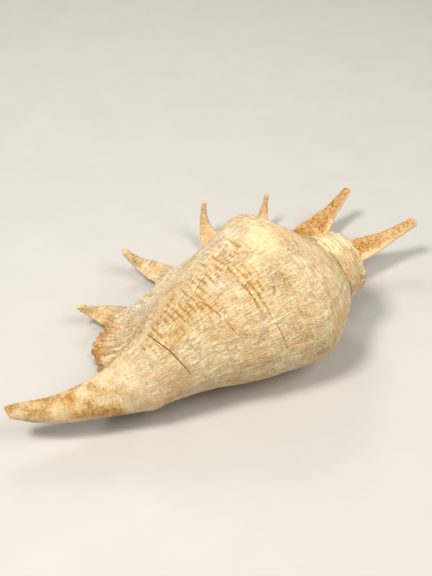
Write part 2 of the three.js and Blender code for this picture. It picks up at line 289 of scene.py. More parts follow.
def lip_relief(cord, t):
    """The flutes near the front of the lip and the folds that run into the fingers."""
    across = np.clip((cord - FLUTES["start"]) / (FLUTES["end"] - FLUTES["start"]), 0, 1)
    envelope = np.sqrt(np.maximum(np.sin(across * np.pi), 0))
    lift = FLUTES["depth"] * envelope * np.sin(across * FLUTES["count"] * 2 * np.pi)
    for f in FINGERS:
        lift = lift + FOLD_HEIGHT * bell(cord - f["cord"], f["spread"])
    return lift * (1 - t) ** 1.5 * winged(cord)


def lip_points(cord, t):
    """The upper and the lower point of the lip at t along a cord."""
    step = 0.25
    controls = lip_controls(cord)
    across = bezier(lip_controls(cord + step), t) - bezier(lip_controls(cord - step), t)
    normal = unit(np.cross(bezier_tangent(controls, t), across))
    thickness = lerp(EDGE_THICKNESS, wall_at(cord), smoothstep(t, 0, 0.5))
    upper = bezier(controls, t) + normal * lip_relief(cord, t)[..., None]
    return upper, upper - normal * thickness[..., None]


def cords(per_row, in_canal):
    """Cords from the suture to the canal's tip, as many between any two rows of LIP_EDGE."""
    keys = LIP_EDGE[:, 0]
    parts = [np.linspace(a, b, per_row, endpoint=False) for a, b in zip(keys[:-1], keys[1:])]
    return np.concatenate(parts + [np.linspace(LIP_END, CANAL_TIP, in_canal + 1)])


def whorl_grid(per_row, in_canal, lip_steps, wall_steps, body_steps):
    """Rings of points round the last whorl, and the cord, growth and insideness of each."""
    cord = cords(per_row, in_canal)[:, None]
    ones = np.ones_like(cord)
    t = np.linspace(0, 1, lip_steps, endpoint=False)[None, :]
    upper, lower = lip_points(cord * np.ones_like(t), ones * t)
    w = np.linspace(0, 1, wall_steps + 1)[None, :]
    wall_angle = lerp(LIP_ROOT, pocket_end(cord), w)
    wall_cord = cord * np.ones_like(w)
    b = np.linspace(0, 1, body_steps + 1)[None, :]
    body_starts = pocket_end(cord) - WALL_TO_BODY
    body_angle = lerp(body_starts, UNDERSIDE, b)
    body_cord = cord * np.ones_like(b)
    back_starts = lerp(body_starts, pocket_end(cord) - 360, coiled(cord))
    back_angle = lerp(back_starts, UNDERSIDE - TUCK["gutter"], b)

    whorl, body = whorl_outside(wall_cord, wall_angle), whorl_outside(body_cord, body_angle)
    outer = np.concatenate([upper, whorl, body], 1)
    inner = np.concatenate([lower, whorl_inside(wall_cord, wall_angle), columella(body_cord, ones * b)], 1)
    lip_growth = LIP_ROOT + LIP_GROWTH * (1 - t) * ones
    outer_growth = np.concatenate([lip_growth, wall_angle, body_angle], 1)
    inner_growth = np.concatenate([lip_growth, wall_angle, back_angle], 1)
    points = np.concatenate([outer, inner[:, ::-1]], 1)
    growth = np.concatenate([outer_growth, inner_growth[:, ::-1]], 1)
    inside = np.concatenate([np.zeros_like(outer_growth), np.ones_like(inner_growth)], 1)
    return points, np.broadcast_to(cord, growth.shape), growth, inside


# ---- Surfaces from rings ----


def ring_faces(rings, sides, cap):
    """The triangles between rings of points, and a cap on the first and the last ring."""
    a = (np.arange(rings - 1)[:, None] * sides + np.arange(sides)[None, :]).ravel()
    b = (np.arange(rings - 1)[:, None] * sides + (np.arange(sides)[None, :] + 1) % sides).ravel()
    faces = np.concatenate([np.stack([a, a + sides, b], 1), np.stack([b, a + sides, b + sides], 1)])
    last = (rings - 1) * sides
    caps = cap(sides)
    return np.concatenate([faces, caps, (caps + last)[:, ::-1]])


def fan(sides):
    """A cap of triangles that all meet at a ring's first point."""
    i = np.arange(1, sides - 1)
    return np.stack([np.zeros_like(i), i, i + 1], 1)


def ladder(sides):
    """A cap of triangles between the two sides of a ring that is a thin wall."""
    i = np.arange(sides // 2 - 1)
    back = sides - 1 - i
    return np.concatenate([np.stack([i, i + 1, back - 1], 1), np.stack([i, back - 1, back], 1)])


def inside_lip(cord, t):
    """The middle of the lip's thickness at t along each cord."""
    upper, lower = lip_points(cord, t)
    return (upper + lower) / 2


def finger_surface(f, steps=90, sides=48):
    """A finger's rings, and the cord and growth that its surface carries on from the lip."""
    cord = np.array([float(f["cord"])])
    knee, tip = np.array(f["knee"], float), np.array(f["tip"], float)
    controls = [inside_lip(cord, np.array([INSIDE_LIP]))[0], inside_lip(cord, np.array([0.0]))[0], knee, tip]
    t = np.linspace(0, 1, steps + 1)
    middle = bezier(controls, t)
    tangent = bezier_tangent(controls, t)
    heading = unit((middle[-1] - middle[0]) * np.array([1, 1, 0]))
    side = np.array([-heading[1], heading[0], 0.0])
    up = unit(np.cross(tangent, side))
    run = np.concatenate([[0], np.cumsum(np.linalg.norm(np.diff(middle, axis=0), axis=1))])
    end = f["end"]
    left = np.clip((run - (run[-1] - end)) / end, 0, 1)
    rounded = np.sqrt(np.maximum(1 - left ** 2, 0.01))
    taper = np.minimum(1, (1 - t) / (1 - AT_EDGE)) ** TAPER
    half_width = lerp(end, f["wide"], taper) * smoothstep(t, -0.15, AT_EDGE) * rounded
    half_height = lerp(THIN_ROOT, end * FLATNESS, smoothstep(t, *THICKENS)) * rounded
    gutter_depth = GUTTER_DEPTH * half_height * np.sqrt(np.maximum(np.sin(np.pi * t), 0))
    turn = np.pi * (1 - 2 * np.arange(sides) / sides)
    gutter = gutter_depth[:, None] * bell(turn + np.pi / 2, GUTTER_ANGLE)[None, :]
    across = half_width[:, None] * np.cos(turn)[None, :]
    lift = half_height[:, None] * np.sin(turn)[None, :] + gutter

    along_edge = np.diff(lip_controls(cord + np.array([-0.5, 0.5]))[0], axis=0)[0]
    cords_per_mm = np.sign(along_edge @ side) / np.linalg.norm(along_edge)
    carried = f["cord"] + across * cords_per_mm
    on_lip = np.broadcast_to(np.maximum(INSIDE_LIP * (1 - t / AT_EDGE), 0)[:, None], carried.shape)
    free = smoothstep(t, AT_EDGE * LEAVES_LIP[0], AT_EDGE * LEAVES_LIP[1])[:, None, None]
    past = middle[:, None] + across[..., None] * side
    points = lerp(inside_lip(carried, on_lip), past, free) + lift[..., None] * up[:, None]

    beyond = np.maximum(run - np.interp(AT_EDGE, t, run), 0)[:, None]
    growth = LIP_ROOT + LIP_GROWTH * (1 - on_lip) + beyond
    return points, carried, growth, np.broadcast_to(turn, carried.shape), t


def spire_surface(steps=65, sides=180):
    """The crescent of the whorl before, the knobbly rim and the low cone of the first whorls."""
    foot, shoulder, rim, top = SPIRE["foot"], SPIRE["shoulder"], SPIRE["rim"], SPIRE["top"]
    wide, narrow = SPIRE["foot_radius"], SPIRE["rim_radius"]
    # [place along the profile, x, radius, how much of the knobs shows]
    profile = np.array([
        [9, foot, wide, 0],
        [8, shoulder, wide, 0],
        [7, lerp(shoulder, rim, 0.6), lerp(wide, narrow, 0.55), 0],
        [6, rim - 1.5, narrow, 1],
        [5, rim, narrow * 0.97, 1],
        [4, rim + 0.8, narrow * 0.86, 0.4],
        [3, rim + 0.2, narrow * 0.7, 0],
        [2, rim + 2.2, narrow * 0.58, 0.3],
        [1, rim + 1.8, narrow * 0.42, 0],
        [0, top, narrow * 0.22, 0],
        [-1, top + 0.3, 0.2, 0],
    ], float)
    first, last = profile[0, 0], profile[-1, 0]
    s = np.linspace(first, last, steps + 1)[:, None]
    angle = (np.arange(sides) / sides * 2 * np.pi)[None, :]
    # Past the rim the profile winds in as it goes round, so that the first whorls are a spiral
    winding = angle / (2 * np.pi) * smoothstep(s, 4.5, 2.5) * smoothstep(s, -1, 0.3)
    x = along(profile, np.clip(s - 0.9 * winding, last, first), 1)
    knobs = np.abs(np.cos(SPIRE["knobs"] * angle / 2)) * (0.75 + 0.25 * np.cos(5 * angle + 1))
    radius = along(profile, s, 2) + along(profile, s, 3) * SPIRE["knob_height"] * KNOB_SHARPNESS * knobs
    points = place(x, radius * np.sin(angle) + SPIRE["swing"], radius * np.cos(angle) + SPIRE["rise"])
    steps_down = np.hypot(np.diff(along(profile, s[:, 0], 1)), np.diff(along(profile, s[:, 0], 2)))
    run = np.concatenate([[0], np.cumsum(steps_down)])[:, None]
    return points, SUTURE + run + 0 * angle, SPIRE_GROWTH * np.cos(angle) + 0 * s


# ---- Fusing, smoothing and reading the lines back ----

VOXEL = 1.2
SEAM = 4.0  # how far from both parts' skins the smoothing of a seam reaches
SMOOTHINGS = 4
SEAM_SMOOTHINGS = 20


class Surface:
    """Triangles or quads with numpy arrays of points, and the neighbours of each point."""

    def __init__(self, points, faces):
        self.points = points
        self.faces = faces
        pairs = np.concatenate([faces[:, [i, (i + 1) % faces.shape[1]]] for i in range(faces.shape[1])])
        self.pairs = np.unique(np.sort(pairs, axis=1), axis=0)
        self.valence = np.bincount(self.pairs.ravel(), minlength=len(points)).astype(float)

    def around(self, values):
        """The mean of the values at each point's neighbours."""
        a, b = self.pairs[:, 0], self.pairs[:, 1]
        flat = values.reshape(len(values), -1)
        sums = [np.bincount(a, flat[b, k], len(flat)) + np.bincount(b, flat[a, k], len(flat))
                for k in range(flat.shape[1])]
        return (np.stack(sums, 1) / self.valence[:, None]).reshape(values.shape)

    def smooth(self, weight, times):
        """Evens out small steps without shrinking the surface."""
        for _ in range(times):
            for step in (0.5, -0.52):
                self.points = self.points + step * weight[:, None] * (self.around(self.points) - self.points)

    def soften(self, weight, times):
        """Rounds the surface off."""
        for _ in range(times):
            self.points = self.points + 0.5 * weight[:, None] * (self.around(self.points) - self.points)

    def normals(self):
        corners = self.points[self.faces]
        face = np.cross(corners[:, 2] - corners[:, 0], corners[:, -1] - corners[:, 1])
        each_corner = np.repeat(face, self.faces.shape[1], axis=0)
        sums = [np.bincount(self.faces.ravel(), each_corner[:, k], len(self.points)) for k in range(3)]
        return unit(np.stack(sums, 1))


def fused(parts):
    """One closed surface of even quads round all the parts."""
    points, faces, start = [], [], 0
    for part_points, part_faces in parts:
        points.append(part_points)
        faces.append(part_faces + start)
        start += len(part_points)
    mesh = bpy.data.meshes.new("fusing")
    mesh.from_pydata(np.concatenate(points).tolist(), [], np.concatenate(faces).tolist())
    body = bpy.data.objects.new("fusing", mesh)
    bpy.context.scene.collection.objects.link(body)
    remesh = body.modifiers.new("fuse", "REMESH")
    remesh.mode = "VOXEL"
    remesh.voxel_size = VOXEL
    done = bpy.data.meshes.new_from_object(body.evaluated_get(bpy.context.evaluated_depsgraph_get()))
    co = np.empty(len(done.vertices) * 3, np.float32)
    done.vertices.foreach_get("co", co)
    corners = np.empty(len(done.loops), np.int32)
    done.loops.foreach_get("vertex_index", corners)
    bpy.data.objects.remove(body)
    bpy.data.meshes.remove(mesh)
    bpy.data.meshes.remove(done)
    return Surface(co.reshape(-1, 3).astype(float), corners.reshape(-1, 4))


def read_back(points, surface_points, triangles, values):
    """For each point, the values at the nearest place on a triangulated surface, and how far away that is."""
    tree = BVHTree.FromPolygons(surface_points.tolist(), triangles.tolist())
    found = [tree.find_nearest(Vector(p)) for p in points.tolist()]
    where = np.array([f[0][:] for f in found])
    index = np.array([f[2] for f in found])
    distance = np.array([f[3] for f in found])
    # How much of each corner of its triangle the nearest place is made of: 1 - v - w, v and w
    a, b, c = (surface_points[triangles[index, k]] for k in range(3))
    ab, ac, ap = b - a, c - a, where - a
    d00, d01, d11 = (ab * ab).sum(1), (ab * ac).sum(1), (ac * ac).sum(1)
    d20, d21 = (ap * ab).sum(1), (ap * ac).sum(1)
    area = np.maximum(d00 * d11 - d01 ** 2, 1e-12)
    v = np.clip((d11 * d20 - d01 * d21) / area, 0, 1)
    w = np.clip((d00 * d21 - d01 * d20) / area, 0, 1)
    corner = [values[triangles[index, k]] for k in range(3)]
    read = corner[0] * (1 - v - w)[:, None] + corner[1] * v[:, None] + corner[2] * w[:, None]
    return read, distance


# A part is (points, triangles, lines), with one row of lines for each point:
# [cord, growth, 1 inside the shell, place along a finger, 1 on a finger's margins]


def joined(parts):
    """Several parts as one."""
    starts = np.cumsum([0] + [len(points) for points, _, _ in parts[:-1]])
    points = np.concatenate([p[0] for p in parts])
    triangles = np.concatenate([p[1] + start for p, start in zip(parts, starts)])
    return points, triangles, np.concatenate([p[2] for p in parts])


def whorl_part():
    """The points, triangles and lines of the whorl, the lip and the canal."""
    grid, cord, growth, inside = whorl_grid(
        per_row=14, in_canal=40, lip_steps=40, wall_steps=24, body_steps=60,
    )
    rings, sides = cord.shape
    # The whorl before is the inner surface too, but it shows outside where it comes out beside the spire
    before = smoothstep(growth, -100, -160)
    hidden = 1 - smoothstep(cord, lerp(60, 42, before), lerp(66, 48, before))
    lines = np.stack([cord, growth, inside * hidden, 0 * growth, 0 * growth], -1)
    return grid.reshape(-1, 3), ring_faces(rings, sides, ladder), lines.reshape(-1, 5)


def finger_part(f):
    """The points, triangles and lines of a finger, whose underside counts as inside."""
    grid, cord, growth, turn, t = finger_surface(f)
    rings, sides = cord.shape
    tip = np.broadcast_to(t[:, None], cord.shape)
    under = smoothstep(-np.sin(turn), 0.2, 1.0) * smoothstep(tip, 0.6 * AT_EDGE, AT_EDGE)
    under = under * smoothstep(tip, 0.9, 0.5)
    margin = smoothstep(np.abs(np.cos(turn)), 0.6, 0.95) * smoothstep(tip, AT_EDGE, 0.5)
    lines = np.stack([cord, growth, under, tip, margin], -1)
    return grid.reshape(-1, 3), ring_faces(rings, sides, fan), lines.reshape(-1, 5)


def spire_part():
    """The points, triangles and lines of the spire."""
    grid, cord, growth = spire_surface()
    rings, sides = cord.shape
    lines = np.stack([cord, growth, 0 * growth, 0 * growth, 0 * growth], -1)
    return grid.reshape(-1, 3), ring_faces(rings, sides, fan), lines.reshape(-1, 5)


def whole_shell():
    """The shell as one smooth surface, and where each of its points lies on the lines."""
    whorl = whorl_part()
    others = joined([spire_part()] + [finger_part(f) for f in FINGERS])
    surface = fused([whorl[:2], others[:2]])
    everywhere = np.ones(len(surface.points))
    surface.smooth(everywhere, SMOOTHINGS)
    on_whorl, to_whorl = read_back(surface.points, *whorl)
    on_others, to_others = read_back(surface.points, *others)
    seam = bell(np.maximum(to_whorl, to_others), SEAM)
    surface.soften(seam, SEAM_SMOOTHINGS)
    lines = np.where((to_others < to_whorl)[:, None], on_others, on_whorl)
    return surface, Lines(*lines.T)


# ---- Relief ----

LATTICE = np.random.default_rng(SEED).uniform(-1, 1, (24, 24, 24))
CORD_SPACING = 3.5
GROWTH_SPACING = 3.4
STRAND_SPACING = 4.2
TOOTH_SPACING = 8.4
SPIRE_RIB_SPACING = 3.1
# Heights of the relief, in millimetres
HEIGHTS = dict(broad=0.7, middling=0.3, wrinkles=0.34, cords=0.13, fanned=0.30, fanned_front=0.25,
               ribs=0.42, lumps=0.9, crack=0.45, teeth=1.7, ragged=0.5)
# The crack follows a cord between two growths, bowing a little on the way
CRACK = dict(start=20.0, end=-73.0, cord=(-53.6, -44.4), bow=-0.9, width=0.10)


def noise(points, size):
    """Smooth noise between -1 and 1 whose bumps are about `size` across."""
    cell = np.floor(points / size).astype(int)
    part = points / size - cell
    part = part * part * (3 - 2 * part)
    total = np.zeros(len(points))
    for corner in itertools.product((0, 1), repeat=3):
        i, j, k = ((cell + corner) % len(LATTICE)).T
        total += np.prod(np.where(corner, part, 1 - part), axis=1) * LATTICE[i, j, k]
    return total


def strand_of(cord):
    """How far along the lip's edge a cord ends, in millimetres from the canal's side."""
    fine = np.linspace(LIP_END, SUTURE, 600)
    edge = np.stack([along(LIP_EDGE, fine, c) for c in (1, 2, 3)], -1)
    run = np.concatenate([[0], np.cumsum(np.linalg.norm(np.diff(edge, axis=0), axis=1))])
    return np.interp(cord, fine, run)


class Lines:
    """Where points lie on the two sets of lines that the shell grew along."""

    def __init__(self, cord, growth, inside, tip, margin):
        self.cord = cord
        self.growth = growth
        self.inside = np.clip(inside, 0, 1)
        self.tip = tip
        self.margin = margin
        self.strand = strand_of(cord)
        self.on_lip = smoothstep(growth, LIP_ROOT + 5, LIP_ROOT + 50) * winged(cord)
        self.at_edge = smoothstep(growth, LIP_ROOT + 0.82 * LIP_GROWTH, LIP_ROOT + LIP_GROWTH) * winged(cord)

    def waver(self, points):
        """Bends both sets of lines a little, as they are on a real shell."""
        self.cord = self.cord + 0.7 * noise(points, 24) + 0.25 * noise(points, 9)
        self.strand = self.strand + 1.6 * noise(points, 24)
        self.growth = self.growth + 2.6 * noise(points + 50, 22) + 0.8 * noise(points + 50, 8)

    def near(self, cord, growth, length, turn):
        return bell(self.cord - cord, length) * bell(self.growth - growth, turn)


def waves(position, spacing):
    """A wave between -1 and 1, highest wherever the position is a multiple of the spacing."""
    return np.cos(2 * np.pi * position / spacing)


# [height, (cord, growth, half length, half turn)] of the low swells and hollows of the back, and of the
# lump low on the side where the canal begins
SWELLS = [
    (1.6, (24, 3, 9, 16)), (-1.3, (17, -34, 8, 12)), (-0.8, (40, -20, 8, 14)), (1.5, (-66, -122, 5, 22)),
]


def crack_groove(lines):
    """1 along the crack, fading away on both sides of it and at its ends."""
    t = (lines.growth - CRACK["start"]) / (CRACK["end"] - CRACK["start"])
    middle = lerp(*CRACK["cord"], t) + CRACK["bow"] * 4 * t * (1 - t)
    return bell(lines.cord - middle, 0.9) * smoothstep(t, 0.0, 0.15) * smoothstep(t, 1.0, 0.85)


def worn_zone(points, lines):
    """The chalky, lumpy places on the back where the outer layer has worn off."""
    patches = lines.near(12, 29, 13, 17) + 0.8 * lines.near(-9, 2, 8, 14) + 0.5 * lines.near(-2, -18, 5, 8)
    return np.clip(patches * (1.1 + 0.6 * noise(points, 9)), 0, 1)


def relief(points, lines):
    """How far the skin stands proud of the smooth shell at each point, in millimetres."""
    high = SimpleNamespace(**HEIGHTS)
    outside = 1 - lines.inside
    uneven = (high.broad * noise(points, 34) + high.middling * noise(points, 12)) * lerp(0.5, 1, outside)
    swells = sum(height * lines.near(*place_and_size) for height, place_and_size in SWELLS)
    lumps = high.lumps * noise(points, 5.5) * worn_zone(points, lines)

    # Growth wrinkles, where the whorl is wide enough for them
    room = smoothstep(along(WHORL, lines.cord), 9, 26)
    room = room * lerp(1, 0.3, smoothstep(lines.cord, SUTURE - 4, SUTURE))
    wrinkles = noise(np.stack([lines.cord / 15, lines.growth / 3.6, outside], -1), 1.0) * room

    # Cords round the whorl, which fan out across the lip and are strongest at its front
    front = lines.on_lip * smoothstep(lines.cord, -14, -34) * smoothstep(lines.cord, -70, -56)
    spiral = waves(lines.cord, CORD_SPACING) * (0.6 + 0.4 * noise(points, 15))
    fanned = waves(lines.strand, STRAND_SPACING) * (0.7 + 0.3 * noise(points, 15))
    fanned = fanned * smoothstep(lines.tip, 0.6, AT_EDGE)
    corded = lerp(high.cords * spiral, (high.fanned + high.fanned_front * front) * fanned, lines.on_lip)
    on_spire = smoothstep(lines.cord, SUTURE, SUTURE + 3)
    ribs = high.ribs * waves(lines.cord, SPIRE_RIB_SPACING) * on_spire

    teeth = np.maximum(waves(lines.strand, TOOTH_SPACING), 0) ** 2 * front * lines.at_edge
    ragged = noise(points, 4.5) * lines.at_edge * (1 - lines.tip)
    out = swells + lumps + high.wrinkles * wrinkles + corded + ribs - high.crack * crack_groove(lines)
    return uneven + outside * out + high.teeth * teeth + high.ragged * ragged


def resting(points):
    """The points with the lowest places worn flat, where the shell lies on the ground."""
    ground = points[:, 2].min() + WORN_AWAY
    return np.maximum(points, np.array([-np.inf, -np.inf, ground]))


def fitted(points, lowest, highest):
    """The points in metres, filling the box of the solid they stand for."""
    low, high = points.min(0), points.max(0)
    return lowest + (points - low) / (high - low) * (highest - lowest)


# ---- Colour zones ----


# [cord, growth, half length, half turn] of the thickest groups of orange dashes
CLUSTERS = [
    (10, 14, 6, 6), (-3, 5, 6, 7), (-27, 5, 6, 7), (-23, -16, 5, 8), (-44, 13, 7, 7), (-36, -6, 6, 8),
    (1, -27, 4.5, 11), (4, -20, 4, 9), (-55, 3, 5, 9), (-33, 20, 6, 5),
]


def marked_zone(points, lines):
    """Where the orange dashes show: a band round the back, fading out down the side."""
    middle = lerp(-4, 13, smoothstep(lines.cord, -50, 12))
    band = bell(lines.growth - middle, 22) * smoothstep(lines.cord, -64, -52) * smoothstep(lines.cord, 22, 15)
    clusters = sum(lines.near(*cluster) for cluster in CLUSTERS)
    return np.clip(0.42 * band * (1 + 0.5 * noise(points, 11)) + clusters, 0, 1)


def tan_zone(points, lines):
    """Where the shell is browner: the fingers, the front edge of the lip and patches on the canal."""
    back = smoothstep(lines.cord + 4 * noise(points, 14), 38, 52)
    behind = smoothstep(lines.growth, 88, 130) * lerp(0.55, 1, smoothstep(lines.growth, 122, 152))
    fingers = lerp(0.35 * smoothstep(lines.growth, 146, 170), behind, back)
    fingers = fingers * (0.8 + 0.4 * noise(points, 8)) * (1 - 0.85 * lines.margin)
    canal = smoothstep(lines.cord, -72, -92) * (0.24 + 0.9 * noise(points, 7))
    front = lines.on_lip * lines.at_edge * smoothstep(lines.cord, -20, -34)
    return np.clip(np.maximum(fingers, canal) + 0.6 * front, 0, 1)


def pale_zone(lines):
    """The bright cream top of the hump, all the tips, and the margins of the fingers."""
    hump = lines.near(26, 2, 9, 16)
    tips = smoothstep(lines.tip, 0.86, 0.98) + smoothstep(lines.cord, -132, -136)
    return np.clip(hump + tips + 0.8 * lines.margin, 0, 1)


def chalky_zone(points, lines):
    """The greyish white places: where the back is worn, and the upper side of the lip."""
    lip = smoothstep(lines.growth, 42, 70) * smoothstep(lines.growth, 165, 140)
    lip = lip * smoothstep(lines.cord, -34, -16) * smoothstep(lines.cord, 46, 34)
    return np.clip(worn_zone(points, lines) + 0.85 * lip, 0, 1)


def pitted_zone(points, lines):
    """Where the back is pitted and grey."""
    hollows = lines.near(17, -29, 5, 8) + 0.7 * lines.near(34, -10, 6, 8) + 0.6 * lines.near(27, -92, 8, 12)
    return np.clip(hollows * (1 + 0.5 * noise(points, 6)), 0, 1)


# ---- The shell ----


def shell_piece():
    """The whole shell, in place of the solid, with its lines and colour zones kept on its points."""
    lowest, highest = (np.array(corner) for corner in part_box("shell"))
    surface, lines = whole_shell()
    points = surface.points
    lines.waver(points)
    zones = dict(
        cord=lines.cord, growth=lines.growth, strand=lines.strand, on_lip=lines.on_lip, inside=lines.inside,
        marks=marked_zone(points, lines), tan=tan_zone(points, lines), pale=pale_zone(lines),
        chalk=chalky_zone(points, lines), pits=pitted_zone(points, lines),
    )
    carved = points + surface.normals() * relief(points, lines)[:, None]
    mesh = bpy.data.meshes.new("shell_skin")
    mesh.from_pydata(fitted(resting(carved), lowest, highest).tolist(), [], surface.faces.tolist())
    mesh.shade_smooth()
    for name, values in zones.items():
        mesh.attributes.new(name, "FLOAT", "POINT").data.foreach_set("value", values.astype(np.float32))
    piece = bpy.data.objects.new("shell_skin", mesh)
    bpy.context.scene.collection.objects.link(piece)
    mesh.materials.append(shell_material())
    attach(piece, "root")
    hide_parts("shell")
    return piece


# ---- Materials ----


def colour(code):
    """A linear colour from a six-letter sRGB code."""
    channels = [int(code[i:i + 2], 16) / 255 for i in (0, 2, 4)]
    return (*[c / 12.92 if c <= 0.04045 else ((c + 0.055) / 1.055) ** 2.4 for c in channels], 1)


CREAM = colour("f5e3ba")
BUFF = colour("ebcd9c")
PALE = colour("ebd8aa")
CHALK = colour("f4e8cf")
ORANGE = colour("cf9b3f")
HONEY = colour("c6965a")
AMBER = colour("bd8534")
# Rust of the flecks, the streak cores and the crack, and also painted shade in the thin cut lines within the
# orange marks
RUST_AND_SHADE = colour("98601f")
# Tan of the shell's own stipple, and also painted shade in the valleys of the fine lines
TAN_AND_SHADE = colour("cfa066")
# Painted shade only: the brown of the thin cut lines and of the hollows between the cords at the front of the
# lip
SHADE_BROWN = colour("a6733c")
GREY = colour("a89470")
DARK = colour("6a3a0e")
NACRE = colour("f2d6b8")


class Tree:
    """A material's nodes. Inputs are plain values or the outputs of other nodes."""

    def __init__(self, name):
        self.material = bpy.data.materials.new(name)
        self.material.use_nodes = True
        self.material.node_tree.nodes.clear()

    def node(self, kind, inputs, **settings):
        made = self.material.node_tree.nodes.new(kind)
        for name, value in settings.items():
            setattr(made, name, value)
        for key, value in inputs.items():
            if isinstance(value, bpy.types.NodeSocket):
                self.material.node_tree.links.new(value, made.inputs[key])
            else:
                made.inputs[key].default_value = value
        return made

    def attribute(self, name):
        return self.node("ShaderNodeAttribute", {}, attribute_name=name).outputs["Fac"]

    def maths(self, operation, a, b=0.0):
        return self.node("ShaderNodeMath", {0: a, 1: b}, operation=operation).outputs[0]

    def product(self, first, *rest):
        for factor in rest:
            first = self.maths("MULTIPLY", first, factor)
        return first

    def total(self, first, *rest):
        for term in rest:
            first = self.maths("ADD", first, term)
        return first

    def vector(self, x, y, z=0.0):
        return self.node("ShaderNodeCombineXYZ", {0: x, 1: y, 2: z}).outputs[0]

    def step(self, value, low, high, start=0.0, end=1.0):
        """Runs smoothly from start to end as the value goes from low to high."""
        inputs = {"Value": value, "From Min": low, "From Max": high, "To Min": start, "To Max": end}
        return self.node("ShaderNodeMapRange", inputs, interpolation_type="SMOOTHSTEP").outputs[0]

    def noise(self, vector, size, detail=2.0, roughness=0.5):
        inputs = {"Vector": vector, "Scale": 1 / size, "Detail": detail, "Roughness": roughness}
        return self.node("ShaderNodeTexNoise", inputs).outputs["Fac"]

    def waves(self, value, spacing):
        """A wave between 0 and 1, highest wherever the value is a multiple of the spacing."""
        wave = self.maths("COSINE", self.maths("MULTIPLY", value, 2 * math.pi / spacing))
        return self.maths("MULTIPLY", self.maths("ADD", wave, 1.0), 0.5)

    def blend(self, factor, a, b):
        return self.node("ShaderNodeMix", {0: factor, 2: a, 3: b}).outputs[0]

    def mix(self, factor, a, b):
        return self.node("ShaderNodeMix", {0: factor, 6: a, 7: b}, data_type="RGBA").outputs[2]

    def cut(self, noise):
        """1 on thin wandering lines, where the noise passes its middle value."""
        return self.step(self.maths("ABSOLUTE", self.maths("SUBTRACT", noise, 0.47)), 0.035, 0.012)

    def millimetres(self):
        place = self.node("ShaderNodeTexCoord", {}).outputs["Object"]
        return self.node("ShaderNodeVectorMath", {0: place, 3: 1 / MM}, operation="SCALE").outputs[0]

    def finish(self, bump_height, bump_depth, **shader):
        bump = self.node("ShaderNodeBump", {"Height": bump_height, "Distance": bump_depth * MM})
        inputs = {**{name.replace("_", " "): v for name, v in shader.items()}, "Normal": bump.outputs[0]}
        surface = self.node("ShaderNodeBsdfPrincipled", inputs)
        self.node("ShaderNodeOutputMaterial", {"Surface": surface.outputs[0]})
        return self.material


def line_along_cord(tree, here, mark):
    """1 on a thin line that follows a cord from one growth to another, 0 elsewhere."""
    run = {"Value": here.growth, "From Min": mark["start"], "From Max": mark["end"]}
    t = tree.node("ShaderNodeMapRange", run, clamp=False).outputs[0]
    t_left = tree.maths("SUBTRACT", 1.0, t)
    first, last = mark["cord"]
    bow = tree.product(t, t_left, 4 * mark["bow"])
    middle = tree.total(tree.product(t, last - first), first, bow)
    offset = tree.maths("ABSOLUTE", tree.maths("SUBTRACT", here.cord, middle))
    ends = tree.product(tree.step(t, 0.0, 0.2), tree.step(t, 1.0, 0.7))
    width = tree.product(ends, mark["width"])
    close = tree.maths("SUBTRACT", tree.total(width, 0.12), offset)
    return tree.product(tree.step(close, -0.12, 0.14), tree.step(ends, 0.0, 0.1))


# Streaks that follow cords between two growths, as the crack does
STREAKS = [
    dict(start=-14.0, end=-52.0, cord=(2.2, 4.2), bow=0.4, width=0.6),
    dict(start=-10.0, end=-36.0, cord=(-1.2, 0.6), bow=0.2, width=0.5),
    dict(start=-52.0, end=-82.0, cord=(5.0, 7.2), bow=0.0, width=0.35),
    dict(start=-2.0, end=-30.0, cord=(-23.5, -19.0), bow=0.3, width=0.45),
    dict(start=-34.0, end=-50.0, cord=(-18.4, -16.0), bow=0.0, width=0.35),
]
STREAK_CORE = 0.06
CRACK_RIM = 0.22
# The values kept on the points of the mesh
ON_MESH = ("cord", "growth", "strand", "on_lip", "inside", "marks", "tan", "pale", "chalk", "pits")


def shell_values(tree):
    """The values that the whole look is worked out from."""
    here = SimpleNamespace(**{name: tree.attribute(name) for name in ON_MESH})
    here.place = tree.millimetres()
    here.outside = tree.maths("SUBTRACT", 1.0, here.inside)
    here.on_finger = tree.step(here.growth, 150, 166)
    here.grain = tree.noise(here.place, 0.8, 3.0, 0.65)
    here.stipple = tree.noise(here.place, 1.5, 2.0, 0.6)
    on_body, fanned = tree.waves(here.cord, CORD_SPACING), tree.waves(here.strand, STRAND_SPACING)
    here.rows = tree.blend(here.on_lip, on_body, fanned)
    add_fine_lines(tree, here)
    return here


